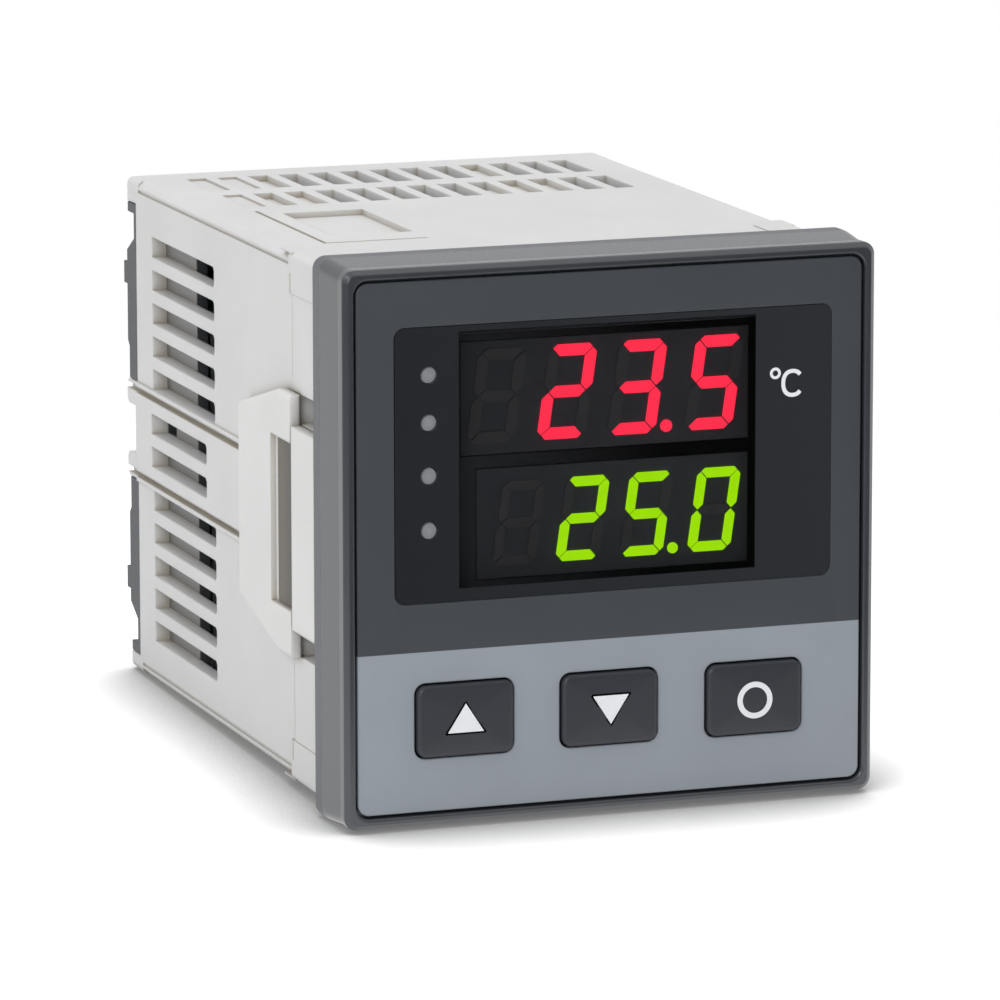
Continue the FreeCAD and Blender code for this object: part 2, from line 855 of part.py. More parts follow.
def make_left_clip():
    """A clip that slides along the rail: grips with two ears, a pressing pad, and feet in the slots."""
    foot_top = -body_half - rail_rise - clip_gap
    outer = foot_top - clip_thickness
    middle = -works_drop
    ear_inner = clip_half - clip_ear
    outline = (
        (clip_rear, middle - clip_rear_half),
        (clip_rear, middle + clip_rear_half),
        (clip_shoulder, middle + clip_half),
        (clip_ear_front, middle + clip_half),
        (clip_ear_front, middle + ear_inner),
        (clip_mouth, middle + ear_inner),
        (clip_mouth, middle - ear_inner),
        (clip_ear_front, middle - ear_inner),
        (clip_ear_front, middle - clip_half),
        (clip_shoulder, middle - clip_half),
    )
    grip = profile_yz(outline, (outer, foot_top))
    rounded = edges_where(
        grip,
        lambda p: near(p.x, outer) and abs(p.z - middle) > ear_inner + clip_round,
    )
    grip = grip.makeFillet(clip_round, rounded)
    pad_front = seat_y + clip_standoff
    pad_rear = pad_front + clip_pad_length
    pad = box((outer, foot_top), (pad_front, pad_rear), (middle - clip_pad_half, middle + clip_pad_half))
    strip = box(
        (foot_top - clip_web_thickness, foot_top),
        (pad_rear, clip_mouth),
        (middle - ear_inner, middle + ear_inner),
    )
    solids = [grip, pad, strip]
    foot_rear = clip_rear - clip_round
    foot_depth = foot_top + rail_slot_depth
    for sign in (-1, 1):
        z = middle + sign * rail_slot_z
        z_span = (z - clip_foot_width / 2, z + clip_foot_width / 2)
        solids.append(box((foot_top, foot_depth), (foot_rear - clip_foot_length, foot_rear), z_span))
    return joined(solids)


# Terminals


def terminal_xs():
    return [(index - (terminal_count - 1) / 2) * terminal_pitch for index in range(terminal_count)]


def make_upper_block():
    """The upper screw-terminal block with a pocket for each screw and a lug at each end."""
    low = -works_drop + block_low
    high = -works_drop + block_high
    step_z = low + block_step
    slope_z = high - block_lip - block_strip
    outline = (
        (side_rear, low),
        (side_rear + block_body_rise, low),
        (side_rear + block_body_rise, step_z),
        (block_land, step_z + block_land_rise - block_body_rise),
        (block_land, slope_z - block_slope),
        (side_rear + block_strip_rise, slope_z),
        (side_rear + block_strip_rise, high - block_lip),
        (side_rear + block_lip_rise, high - block_lip),
        (side_rear + block_lip_rise, high),
        (side_rear, high),
    )
    cap = profile_yz(outline, (-body_half, body_half))
    core = box((-block_inner_half, block_inner_half), (side_rear - block_inner_depth, side_rear), (low, high))
    tab_z = low + block_tab_z
    tabs = []
    for sign in (-1, 1):
        x_span = (sign * body_half, sign * (body_half - block_tab_width))
        tabs.append(box(x_span, (side_rear, tab_rear), (tab_z, tab_z + block_tab_height)))
    block = joined([cap, core] + tabs)
    cuts = []
    floor = side_rear - pocket_floor
    contact_z = low + screw_z - contact_drop
    for x in terminal_xs():
        half = pocket_width / 2
        cuts.append(box((x - half, x + half), (floor, tab_rear), (low + pocket_margin, high - block_lip)))
        bore = prism(shank_sides, screw_radius + screw_fit, (floor - screw_length, floor), x, low + screw_z)
        cuts.append(bore)
        half = contact_width / 2 + screw_fit
        z_span = (contact_z - clamp_thickness - screw_fit, contact_z + screw_fit)
        cuts.append(box((x - half, x + half), (0, floor), z_span))
    return block.cut(cuts)


def make_upper_clamps():
    """Square clamp plates under the screws, each with a contact tail through the block."""
    low = -works_drop + block_low
    floor = side_rear - pocket_floor
    contact_z = low + screw_z - contact_drop
    plates = []
    for x in terminal_xs():
        half = clamp_size / 2
        z = low + screw_z
        plate = box((x - half, x + half), (floor, floor + clamp_thickness), (z - half, z + half))
        hole = prism(shank_sides, screw_radius + screw_fit, (floor, floor + clamp_thickness), x, z)
        plate = plate.cut(hole)
        half = contact_width / 2
        z_span = (contact_z - clamp_thickness, contact_z)
        tail = box((x - half, x + half), (floor - contact_length, floor), z_span)
        plates.append(joined([plate, tail]))
    return Part.makeCompound(plates)


def make_upper_screws():
    low = -works_drop + block_low
    seat = side_rear - pocket_floor + clamp_thickness
    end = seat - clamp_thickness - screw_length + screw_fit
    screws = []
    for x in terminal_xs():
        z = low + screw_z
        head = prism(head_sides, screw_head_radius, (seat, seat + screw_head_height), x, z)
        top = seat + screw_head_height
        slots = []
        for width, height in ((screw_slot_width, screw_head_radius), (screw_head_radius, screw_slot_width)):
            x_span = (x - width / 2, x + width / 2)
            slots.append(box(x_span, (top - screw_slot_depth, top), (z - height / 2, z + height / 2)))
        shank = prism(shank_sides, screw_radius, (end, seat), x, z)
        screws.append(joined([head.cut(slots), shank]))
    return Part.makeCompound(screws)


# Boards and components


def make_display_board():
    return box((-board_half, board_half), (board_front, board_back), (-board_half, board_half))


def make_side_board(sign):
    half = board_thickness / 2
    x = sign * side_board_x
    y_span = (board_back, board_rear)
    return box((x - half, x + half), y_span, (-board_half, board_half))


def board_face(sign):
    """X of a side board's inner face."""
    return sign * (side_board_x - board_thickness / 2)


def make_transformer_core():
    x = board_face(-1) + coil_overhang
    half_y = core_length / 2
    half_z = core_height / 2
    x_span = (x, x + core_width)
    core = box(x_span, (core_y - half_y, core_y + half_y), (core_z - half_z, core_z + half_z))
    windows = []
    inner = core_limb / 2
    for sign in (-1, 1):
        y_span = (core_y + sign * inner, core_y + sign * (half_y - core_limb))
        windows.append(box(x_span, y_span, (core_z - half_z + core_limb, core_z + half_z - core_limb)))
    return core.cut(windows)


def make_transformer_coil():
    x = board_face(-1)
    half_y = core_length / 2 - core_limb - coil_fit
    half_z = core_height / 2 - core_limb - coil_fit
    x_span = (x, x + 2 * coil_overhang + core_width)
    coil = box(x_span, (core_y - half_y, core_y + half_y), (core_z - half_z, core_z + half_z))
    inner = core_limb / 2 + coil_fit
    hole_x = (x + coil_overhang - coil_fit, x + coil_overhang + core_width + coil_fit)
    return coil.cut(box(hole_x, (core_y - inner, core_y + inner), (core_z - half_z, core_z + half_z)))


def make_capacitor():
    x = board_face(-1)
    foot = V(x, capacitor_y, capacitor_z)
    return Part.makeCylinder(capacitor_radius, capacitor_length, foot, V(1, 0, 0))


def make_relay(z):
    x = board_face(1)
    y_span = (relay_y - relay_length / 2, relay_y + relay_length / 2)
    return box((x - relay_height, x), y_span, (z - relay_width / 2, z + relay_width / 2))


def make_processor():
    x = board_face(1)
    half = chip_size / 2
    return box((x - chip_thickness, x), (chip_y - half, chip_y + half), (-half, half))


def build():
    os.makedirs("parts", exist_ok=True)
    save("front_bezel", make_bezel())
    save("face_plate", make_face_plate())
    save("display_window", make_window())
    save("panel_gasket", make_gasket())
    save("display_frame", make_display_frame())
    save("pv_display", make_display(pv_width, pv_top, pv_height))
    save("sv_display", make_display(sv_width, sv_top, sv_height))
    pv_z = pv_top - pv_above - pv_digit_height / 2
    sv_z = sv_top - sv_above - sv_digit_height / 2
    pv_lit, pv_dark = make_figures(pv_figures, pv_digit, pv_end, pv_point_room, pv_z)
    sv_lit, sv_dark = make_figures(sv_figures, sv_digit, sv_end, sv_point_room, sv_z)
    save("pv_lit_segments", pv_lit)
    save("pv_dark_segments", pv_dark)
    save("sv_lit_segments", sv_lit)
    save("sv_dark_segments", sv_dark)
    save("indicator_lamps", make_lamps())
    for name, x in zip(("up", "down", "function"), key_centres()):
        save(name + "_key", make_key(x))
        save(name + "_plunger", make_plunger(x))
        save(name + "_switch", make_switch(x))
    save("housing", make_housing())
    left_clip = make_left_clip()
    save("left_clip", left_clip)
    save("right_clip", mirror_x(left_clip))
    for name, shape in (
        ("terminal_block", make_upper_block()),
        ("terminal_clamps", make_upper_clamps()),
        ("terminal_screws", make_upper_screws()),
    ):
        save("upper_" + name, shape)
        save("lower_" + name, flip_z(shape))
    save("display_board", make_display_board())
    save("power_board", make_side_board(-1))
    save("control_board", make_side_board(1))
    save("transformer_core", make_transformer_core())
    save("transformer_coil", make_transformer_coil())
    save("filter_capacitor", make_capacitor())
    save("output_relay", make_relay(relay_z))
    save("alarm_relay", make_relay(relay_z - relay_pitch))
    save("processor_chip", make_processor())


build()
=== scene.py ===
import math

import bmesh
import bpy
import numpy as np
from mathutils import Matrix, Vector


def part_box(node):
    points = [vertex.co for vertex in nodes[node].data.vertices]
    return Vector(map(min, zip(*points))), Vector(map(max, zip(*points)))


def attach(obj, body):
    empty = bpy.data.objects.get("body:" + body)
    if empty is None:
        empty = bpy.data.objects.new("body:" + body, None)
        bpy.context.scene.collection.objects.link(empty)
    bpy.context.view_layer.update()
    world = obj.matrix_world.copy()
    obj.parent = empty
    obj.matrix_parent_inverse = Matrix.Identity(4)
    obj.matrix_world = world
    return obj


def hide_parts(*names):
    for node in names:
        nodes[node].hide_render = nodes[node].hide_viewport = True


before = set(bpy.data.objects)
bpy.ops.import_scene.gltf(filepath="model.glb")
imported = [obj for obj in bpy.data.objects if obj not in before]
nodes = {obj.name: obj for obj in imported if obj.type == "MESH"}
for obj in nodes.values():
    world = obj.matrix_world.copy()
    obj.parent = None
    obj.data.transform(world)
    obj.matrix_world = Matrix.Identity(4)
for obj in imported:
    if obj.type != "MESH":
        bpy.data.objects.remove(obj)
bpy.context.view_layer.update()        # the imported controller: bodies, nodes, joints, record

mm = 0.001
midZ = (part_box("front_bezel")[0].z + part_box("front_bezel")[1].z) / 2
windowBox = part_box("display_window")
print("frame loaded:", len(nodes), "nodes")


# making meshes

def addObject(name, data):
    thing = bpy.data.objects.new(name, data)
    bpy.context.scene.collection.objects.link(thing)
    return thing


def meshPiece(name, points, faces, smoothAngle=35):
    # points is an (n, 3) array in metres, faces a list of index rows
    data = bpy.data.meshes.new(name)
    data.from_pydata(np.asarray(points, float).tolist(), [], faces)
    piece = addObject(name, data)
    tidyMesh(piece, smoothAngle)
    return piece


def tidyMesh(piece, smoothAngle):
    # doubles merged first, then every face turned outwards
    work = bmesh.new()
    work.from_mesh(piece.data)
    bmesh.ops.remove_doubles(work, verts=work.verts, dist=1e-8)
    bmesh.ops.recalc_face_normals(work, faces=work.faces)
    work.to_mesh(piece.data)
    work.free()
    piece.data.shade_smooth()
    piece.data.set_sharp_from_angle(angle=math.radians(smoothAngle))


def roundedRectangle(centre, half, radius, perCorner=10):
    # point(t) = corner centre(t) + radius * (cos t, sin t), one quarter turn at each corner
    turn = np.concatenate([np.linspace(0, math.pi / 2, perCorner) + k * math.pi / 2 for k in range(4)])
    signX = np.repeat([1, -1, -1, 1], perCorner)
    signZ = np.repeat([1, 1, -1, -1], perCorner)
    x = centre[0] + signX * (half[0] - radius) + radius * np.cos(turn)
    z = centre[1] + signZ * (half[1] - radius) + radius * np.sin(turn)
    return np.stack([x, z], axis=1)


def circle(centre, radius, count=64):
    # point(t) = centre + radius * (cos t, sin t)
    t = np.linspace(0, 2 * math.pi, count, endpoint=False)
    return np.stack([centre[0] + radius * np.cos(t), centre[1] + radius * np.sin(t)], axis=1)


def loftRings(name, lofts, smoothAngle=40):
    # closed skins through outlines of equal count: point(k, t) = (x, z of outline k at t, y = depth k at t),
    # with each end drawn to a pole at the middle of its outline; lofts is a list of (rings, depths)
    points, faces, start = [], [], 0
    for rings, depths in lofts:
        rows, count = depths.shape
        grid = np.stack([rings[..., 0], depths, rings[..., 1]], axis=-1)
        points.append(np.concatenate([grid.reshape(-1, 3), [grid[0].mean(axis=0), grid[-1].mean(axis=0)]]))
        row, column = np.meshgrid(np.arange(rows - 1), np.arange(count), indexing="ij")
        after = (column + 1) % count
        quads = np.stack([row * count + column, row * count + after,
                          (row + 1) * count + after, (row + 1) * count + column], axis=-1).reshape(-1, 4)
        t = np.arange(count)
        last = (rows - 1) * count
        firstFan = np.stack([np.full(count, rows * count), (t + 1) % count, t], axis=1)
        lastFan = np.stack([np.full(count, rows * count + 1), last + t, last + (t + 1) % count], axis=1)
        faces += (quads + start).tolist() + (firstFan + start).tolist() + (lastFan + start).tolist()
        start += len(points[-1])
    return meshPiece(name, np.concatenate(points), faces, smoothAngle)


def dress(piece, body, finish):
    piece.data.materials.clear()
    piece.data.materials.append(made[finish])
    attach(piece, body)
    return piece


def cutSheet(name, outline, holes, front, thickness, edge):
    # a flat sheet in x, z with holes through it and rounded edges, its face at y = front
    curve = bpy.data.curves.new(name, "CURVE")
    curve.dimensions = "2D"
    curve.fill_mode = "BOTH"
    curve.extrude = thickness / 2 - edge
    curve.bevel_depth = edge
    curve.bevel_resolution = 3
    curve.offset = -edge
    for ring in [outline] + holes:
        line = curve.splines.new("POLY")
        line.points.add(len(ring) - 1)
        flatZ, weight = np.zeros(len(ring)), np.ones(len(ring))
        line.points.foreach_set("co", np.column_stack([ring, flatZ, weight]).ravel())
        line.use_cyclic_u = True
    return flatToMesh(name, curve, (0, front + thickness / 2, 0), False)


def flatToMesh(name, curve, place, facesRear, smoothAngle=30):
    # a flat curve or text made a mesh, then stood up:
    # (u, v, w) becomes (u, -w, v) or, to be read from behind, (-u, w, v)
    flat = addObject(name + "Flat", curve)
    bpy.context.view_layer.update()
    data = bpy.data.meshes.new_from_object(flat.evaluated_get(bpy.context.evaluated_depsgraph_get()))
    bpy.data.objects.remove(flat)
    data.name = name
    points = np.empty(len(data.vertices) * 3)
    data.vertices.foreach_get("co", points)
    u, v, w = points.reshape(-1, 3).T
    stood = np.stack([-u, w, v], axis=1) if facesRear else np.stack([u, -w, v], axis=1)
    data.vertices.foreach_set("co", (stood + np.array(place)).ravel())
    data.update()
    piece = addObject(name, data)
    tidyMesh(piece, smoothAngle)
    return piece


# finishes

softEdge = 0.1 * mm        # how wide a tinted mask fades


def linear(rgb):
    # screen values 0 to 255 to linear light
    return [((v / 255 + 0.055) / 1.055) ** 2.4 if v > 10 else v / 255 / 12.92 for v in rgb]


def newFinish(name):
    finish = bpy.data.materials.new(name)
    finish.use_nodes = True
    tree = finish.node_tree
    return finish, tree, tree.nodes["Principled BSDF"]


def addNode(tree, kind, **settings):
    node = tree.nodes.new(kind)
    for key, value in settings.items():
        setattr(node, key, value)
    return node


def feed(tree, socket, term):
    # a socket is linked in; a number, or a colour in linear light, becomes the input's own value
    if isinstance(term, bpy.types.NodeSocket):
        tree.links.new(term, socket)
    elif isinstance(term, (int, float)):
        socket.default_value = term
    else:
        socket.default_value = (*term, 1)


def mathNode(tree, operation, first, second=0.0):
    # each term is a number or a socket
    node = addNode(tree, "ShaderNodeMath", operation=operation)
    feed(tree, node.inputs[0], first)
    feed(tree, node.inputs[1], second)
    return node.outputs[0]


def product(tree, first, *others):
    for other in others:
        first = mathNode(tree, "MULTIPLY", first, other)
    return first


def farFrom(tree, value, middle=0.0):
    # how far a value is from a middle, either way
    return mathNode(tree, "ABSOLUTE", mathNode(tree, "SUBTRACT", value, middle))


def objectPoint(tree, scale=None):
    coords = addNode(tree, "ShaderNodeTexCoord")
    if scale is None:
        return coords.outputs["Object"]
    mapping = addNode(tree, "ShaderNodeMapping")
    mapping.inputs["Scale"].default_value = scale
    tree.links.new(coords.outputs["Object"], mapping.inputs["Vector"])
    return mapping.outputs["Vector"]


def splitPoint(tree, point):
    axes = addNode(tree, "ShaderNodeSeparateXYZ")
    tree.links.new(point, axes.inputs[0])
    return axes.outputs


def noise(tree, point, scale, detail=2.0):
    node = addNode(tree, "ShaderNodeTexNoise")
    node.inputs["Scale"].default_value = scale
    node.inputs["Detail"].default_value = detail
    tree.links.new(point, node.inputs["Vector"])
    return node.outputs["Fac"]


def ramp(tree, value, low, high, fromLow=0.3, fromHigh=0.7):
    # value between fromLow and fromHigh becomes low to high; noise lies mostly between 0.3 and 0.7
    node = addNode(tree, "ShaderNodeMapRange")
    for key, number in (("From Min", fromLow), ("From Max", fromHigh), ("To Min", low), ("To Max", high)):
        node.inputs[key].default_value = number
    tree.links.new(value, node.inputs["Value"])
    return node.outputs["Result"]


def softBox(tree, value, low, high, soft=softEdge):
    # 1 between low and high, falling to 0 over the soft width inside each end
    rise = ramp(tree, value, 0, 1, low, low + soft)
    fall = ramp(tree, value, 1, 0, high - soft, high)
    return mathNode(tree, "MINIMUM", rise, fall)


def blend(tree, factor, first, second, kind="MIX"):
    # the first colour at factor 0, the second at 1; each is a colour in linear light or a socket
    node = addNode(tree, "ShaderNodeMix", data_type="RGBA", blend_type=kind)
    for key, term in (("Factor", factor), ("A", first), ("B", second)):
        feed(tree, node.inputs[key], term)
    return node.outputs["Result"]


def mixShaders(tree, factor, first, second):
    # the first shader at factor 0, the second at 1
    node = addNode(tree, "ShaderNodeMixShader")
    for place, term in enumerate((factor, first, second)):
        tree.links.new(term, node.inputs[place])
    return node.outputs[0]


def openness(tree, reach):
    # 1 on open faces, falling towards 0 where other faces stand within reach; the mask for painted shade in
    # recesses and for the painted shadow on the floor
    nearby = addNode(tree, "ShaderNodeAmbientOcclusion", samples=8)
    nearby.inputs["Distance"].default_value = reach
    return nearby.outputs["AO"]


def grainBump(tree, shader, grain, strength, step, edge=0.0):
    # fine grain as bump, laid over edges that the bevel rounds
    bump = addNode(tree, "ShaderNodeBump")
    bump.inputs["Strength"].default_value = strength
    bump.inputs["Distance"].default_value = step
    tree.links.new(grain, bump.inputs["Height"])
    if edge:
        bevel = addNode(tree, "ShaderNodeBevel", samples=6)
        bevel.inputs["Radius"].default_value = edge
        tree.links.new(bevel.outputs["Normal"], bump.inputs["Normal"])
    tree.links.new(bump.outputs["Normal"], shader.inputs["Normal"])


def grooveMask(tree, axes, look):
    # the grooves in the side rails, which keep most of the open faces' tone: most of the painted recess shade
    # is held off them
    low, high = (v * mm for v in look["offset"])
    band = softBox(tree, farFrom(tree, axes["Z"], midZ), low, high)
    outside = look["outside"] * mm
    aside = ramp(tree, farFrom(tree, axes["X"]), 0, look["keep"], outside - softEdge, outside)
    return product(tree, band, aside)


def slotShade(tree, colour, axes, look):
    # painted shade on the floor of the clip's window, darker towards the front
    low, high = (v * mm for v in look["y"])
    half, within = look["halfZ"] * mm, look["within"] * mm
    height = mathNode(tree, "SUBTRACT", axes["Z"], midZ + look["centreZ"] * mm)
    tall = softBox(tree, height, -half, half)
    long = softBox(tree, axes["Y"], low, high)
    sunk = ramp(tree, farFrom(tree, axes["X"]), 1, 0, within - softEdge, within)
    tone = blend(tree, ramp(tree, axes["Y"], 0, 1, low, high), linear(look["front"]), linear(look["rear"]))
    return blend(tree, product(tree, tall, long, sunk), colour, tone)


def insideShade(tree, colour, axes, look):
    # painted shade inside the shell: a dark box between the walls
    half, rear, soft = (look[key] * mm for key in ("half", "rear", "soft"))
    across = softBox(tree, axes["X"], -half, half, soft)
    tall = softBox(tree, axes["Z"], midZ - half, midZ + half, soft)
    long = softBox(tree, axes["Y"], -rear, rear, soft)
    return blend(tree, product(tree, across, tall, long), colour, linear(look["colour"]))


def mouldLine(tree, colour, axes, look):
    # painted shade of a thin groove: a fine upright dark line beside the flange on each side, above and below
    # the clip
    y, half, side = (look[key] * mm for key in ("y", "half", "side"))
    outward = ramp(tree, farFrom(tree, axes["X"]), 0, 1, side - softEdge, side)
    across = softBox(tree, axes["Y"], y - half, y + half, look["soft"] * mm)
    along = softBox(tree, farFrom(tree, axes["Z"], midZ), look["from"] * mm, look["to"] * mm)
    return blend(tree, product(tree, across, along, outward), colour, linear(look["colour"]))


def recessTint(tree, colour, look):
    # painted shade: recesses a warmer, darker tone than the open faces, then the further painted shade that
    # the look names
    clear = ramp(tree, openness(tree, look["reach"] * mm), 0, 1, look["from"], look["to"])
    axes = splitPoint(tree, objectPoint(tree))
    if "groove" in look:
        clear = mathNode(tree, "MAXIMUM", clear, grooveMask(tree, axes, look["groove"]))
    colour = blend(tree, clear, linear(look["recess"]), colour)
    for key, tint in (("slot", slotShade), ("inside", insideShade), ("line", mouldLine)):
        if key in look:
            colour = tint(tree, colour, axes, look[key])
    return colour


moulding = {"mottle": 0.03, "mottleScale": 90, "roughSpread": 0.04, "step": 0.00002, "shine": 0.5,
            "glowColour": (1.0, 0.85, 0.65)}        # what all moulded plastics share


def mouldedPlastic(name, look):
    # spark-eroded grain, slow mottling of the colour and, where the look has it, painted shade in the
    # recesses
    finish, tree, shader = newFinish(name)
    point = objectPoint(tree)
    base = np.array(linear(look["colour"]))
    slow = ramp(tree, noise(tree, point, moulding["mottleScale"], 3), 0, 1)
    colour = blend(tree, slow, base * (1 - moulding["mottle"]), base * (1 + moulding["mottle"]))
    if "paintedRecessShade" in look:
        colour = recessTint(tree, colour, look["paintedRecessShade"])
    tree.links.new(colour, shader.inputs["Base Color"])
    grain = noise(tree, point, look["grainScale"])
    spread = moulding["roughSpread"]
    rough = ramp(tree, grain, look["roughness"] - spread, look["roughness"] + spread)
    tree.links.new(rough, shader.inputs["Roughness"])
    grainBump(tree, shader, grain, look["grainDepth"], moulding["step"], look.get("edge", 0))
    shader.inputs["Specular IOR Level"].default_value = look.get("shine", moulding["shine"])
    if "glow" in look:
        shader.inputs["Subsurface Weight"].default_value = look["glow"]
        shader.inputs["Subsurface Radius"].default_value = moulding["glowColour"]
        shader.inputs["Subsurface Scale"].default_value = look["glowReach"]
    return finish


# painted shade for the case: darker, warmer recesses, a dark inside of the shell and a dark groove line
# beside the flange
casePaintedShade = {
    "recess": (178, 171, 158), "reach": 1.3, "from": 0.35, "to": 0.90,
    "groove": {"offset": (3.4, 4.4), "outside": 22.2, "keep": 0.62},
    "inside": {"colour": (66, 68, 70), "half": 21.5, "rear": 28.3, "soft": 0.15},
    "line": {"colour": (168, 161, 147), "y": -16.45, "half": 0.15, "soft": 0.06, "from": 12.1, "to": 21.2,
             "side": 22.7},
}
# painted shade for the clip: browner recesses where the bezel and the housing stand close, and a darker floor
# in its window
clipPaintedShade = {
    "recess": (150, 140, 122), "reach": 3.2, "from": 0.15, "to": 0.80,
    "slot": {"front": (58, 56, 53), "rear": (112, 106, 95), "y": (-19.3, -14.4), "halfZ": 7.35,
             "centreZ": -0.3, "within": 23.8},
}
finishes = {
    "bezel": {"colour": (59, 62, 68), "roughness": 0.23, "grainScale": 5200, "grainDepth": 0.06,
              "edge": 0.00022, "shine": 0.95},
    "gasket": {"colour": (96, 98, 103), "roughness": 0.48, "grainScale": 3000, "grainDepth": 0.12,
               "edge": 0.00018},
    "key": {"colour": (54, 57, 64), "roughness": 0.40, "grainScale": 5200, "grainDepth": 0.10,
            "edge": 0.0001},
    "case": {"colour": (217, 217, 217), "roughness": 0.5, "grainScale": 4200, "grainDepth": 0.16,
             "edge": 0.00025, "glow": 0.25, "glowReach": 0.0008, "paintedRecessShade": casePaintedShade},
    "clip": {"colour": (223, 223, 222), "roughness": 0.46, "grainScale": 3600, "grainDepth": 0.10,
             "edge": 0.0004, "glow": 0.3, "glowReach": 0.0010, "paintedRecessShade": clipPaintedShade},
    "terminal": {"colour": (58, 61, 67), "roughness": 0.45, "grainScale": 4200, "grainDepth": 0.14,
                 "edge": 0.0002},
    "displayFace": {"colour": (92, 94, 100), "roughness": 0.6, "grainScale": 3000, "grainDepth": 0.05,
                    "shine": 0.2},
    "unlit": {"colour": (103, 103, 106), "roughness": 0.5, "grainScale": 1500, "grainDepth": 0.05,
              "shine": 0.2},
    "plunger": {"colour": (30, 30, 31), "roughness": 0.5, "grainScale": 3000, "grainDepth": 0.1},
    "ferrite": {"colour": (64, 63, 62), "roughness": 0.6, "grainScale": 2500, "grainDepth": 0.3,
                "edge": 0.0003},
    "tape": {"colour": (225, 190, 70), "roughness": 0.35, "grainScale": 900, "grainDepth": 0.2},
    "sleeve": {"colour": (44, 46, 60), "roughness": 0.25, "grainScale": 900, "grainDepth": 0.1},
    "relay": {"colour": (52, 78, 120), "roughness": 0.35, "grainScale": 2500, "grainDepth": 0.1,
              "edge": 0.0002},
    "resin": {"colour": (40, 40, 41), "roughness": 0.55, "grainScale": 4200, "grainDepth": 0.3},
    "whitePrint": {"colour": (240, 242, 245), "roughness": 0.4, "grainScale": 6000, "grainDepth": 0.05},
    "greyPrint": {"colour": (92, 94, 98), "roughness": 0.45, "grainScale": 6000, "grainDepth": 0.05},
}
made = {key: mouldedPlastic(key + "Finish", look) for key, look in finishes.items()}

plateLook = {
    "upper": (69, 74, 80), "lower": (152, 159, 167), "splitZ": -8.88, "splitSoft": 0.02,
    "mottle": 0.03, "mottleScale": 120,
    "roughness": 0.42, "roughSpread": 0.03, "grainScale": 7000, "grainDepth": 0.06, "step": 0.00001,
}


def plateFinish(look):
    # one printed plate: a dark field above, a pale one below, split at a height, with a fine matt tooth
    finish, tree, shader = newFinish("facePrint")
    point = objectPoint(tree)
    split, soft = midZ + look["splitZ"] * mm, look["splitSoft"] * mm
    side = ramp(tree, splitPoint(tree, point)["Z"], 0, 1, split - soft, split + soft)
    field = blend(tree, side, linear(look["lower"]), linear(look["upper"]))
    slow = ramp(tree, noise(tree, point, look["mottleScale"], 3), 1 - look["mottle"], 1 + look["mottle"])
    tree.links.new(blend(tree, 1, field, slow, "MULTIPLY"), shader.inputs["Base Color"])
    grain = noise(tree, point, look["grainScale"], 1)
    spread = look["roughSpread"]
    rough = ramp(tree, grain, look["roughness"] - spread, look["roughness"] + spread)
    tree.links.new(rough, shader.inputs["Roughness"])
    grainBump(tree, shader, grain, look["grainDepth"], look["step"])
    return finish


frameLook = {"left": (82, 84, 88), "right": (3, 3, 3), "from": -13.0, "to": 5.0,
             "roughness": 0.6, "shine": 0.2, "grainScale": 3000, "grainDepth": 0.1, "step": 0.00002}


def frameFinish(look):
    # black moulded frame, greyer towards the left
    finish, tree, shader = newFinish("frameBlack")
    point = objectPoint(tree)
    across = ramp(tree, splitPoint(tree, point)["X"], 0, 1, look["from"] * mm, look["to"] * mm)
    tone = blend(tree, across, linear(look["left"]), linear(look["right"]))
    tree.links.new(tone, shader.inputs["Base Color"])
    shader.inputs["Roughness"].default_value = look["roughness"]
    shader.inputs["Specular IOR Level"].default_value = look["shine"]
    grainBump(tree, shader, noise(tree, point, look["grainScale"]), look["grainDepth"], look["step"])
    return finish


windowLook = {
    "colour": (7, 8, 10), "film": 0.35, "printLitLeft": (40, 41, 45), "printLitRight": (48, 50, 54),
    "openX": (-13.64, 12.98), "openZ": (-3.66, 18.16), "soft": 0.06, "printDeep": (0.1, 0.2),
    "lampX": -16.22, "lampZ": (14.57, 10.54, 6.08, 1.42), "lampRadius": 0.60, "halo": 0.20,
    "roughness": 0.08, "roughSpread": 0.03, "smearScale": 150,
}


def smokedFinish(look):
    # smoked clear sheet, printed grey on its face except for an opening over the displays
    # and one over each lamp; the grey is painted lighter towards the right, as painted light
    finish, tree, shader = newFinish("smokedWindow")
    point = objectPoint(tree)
    axes = splitPoint(tree, point)
    left, right = (v * mm for v in look["openX"])
    bottom, top = (midZ + v * mm for v in look["openZ"])
    soft, radius = look["soft"] * mm, look["lampRadius"] * mm
    wide, tall = softBox(tree, axes["X"], left, right, soft), softBox(tree, axes["Z"], bottom, top, soft)
    opening = product(tree, wide, tall)
    for height in look["lampZ"]:
        away = addNode(tree, "ShaderNodeVectorMath", operation="DISTANCE")
        tree.links.new(point, away.inputs[0])
        away.inputs[1].default_value = (look["lampX"] * mm, windowBox[0].y, midZ + height * mm)
        spot = ramp(tree, away.outputs["Value"], 1, 0, radius, radius + look["halo"] * mm)
        opening = mathNode(tree, "MAXIMUM", opening, spot)
    near, far = (windowBox[0].y + v * mm for v in look["printDeep"])
    opening = mathNode(tree, "MAXIMUM", opening, ramp(tree, axes["Y"], 0, 1, near, far))
    # painted light: the printed grey goes lighter from left to right
    across = ramp(tree, axes["X"], 0, 1, windowBox[0].x, windowBox[1].x)
    printAndPaintedLight = blend(tree, across, linear(look["printLitLeft"]), linear(look["printLitRight"]))
    tree.links.new(blend(tree, opening, printAndPaintedLight, linear(look["colour"])), shader.inputs["Base Color"])
    tree.links.new(ramp(tree, opening, 1, look["film"], 0, 1), shader.inputs["Alpha"])
    smear = noise(tree, point, look["smearScale"])
    rough = ramp(tree, smear, look["roughness"], look["roughness"] + look["roughSpread"])
    tree.links.new(rough, shader.inputs["Roughness"])
    return finish


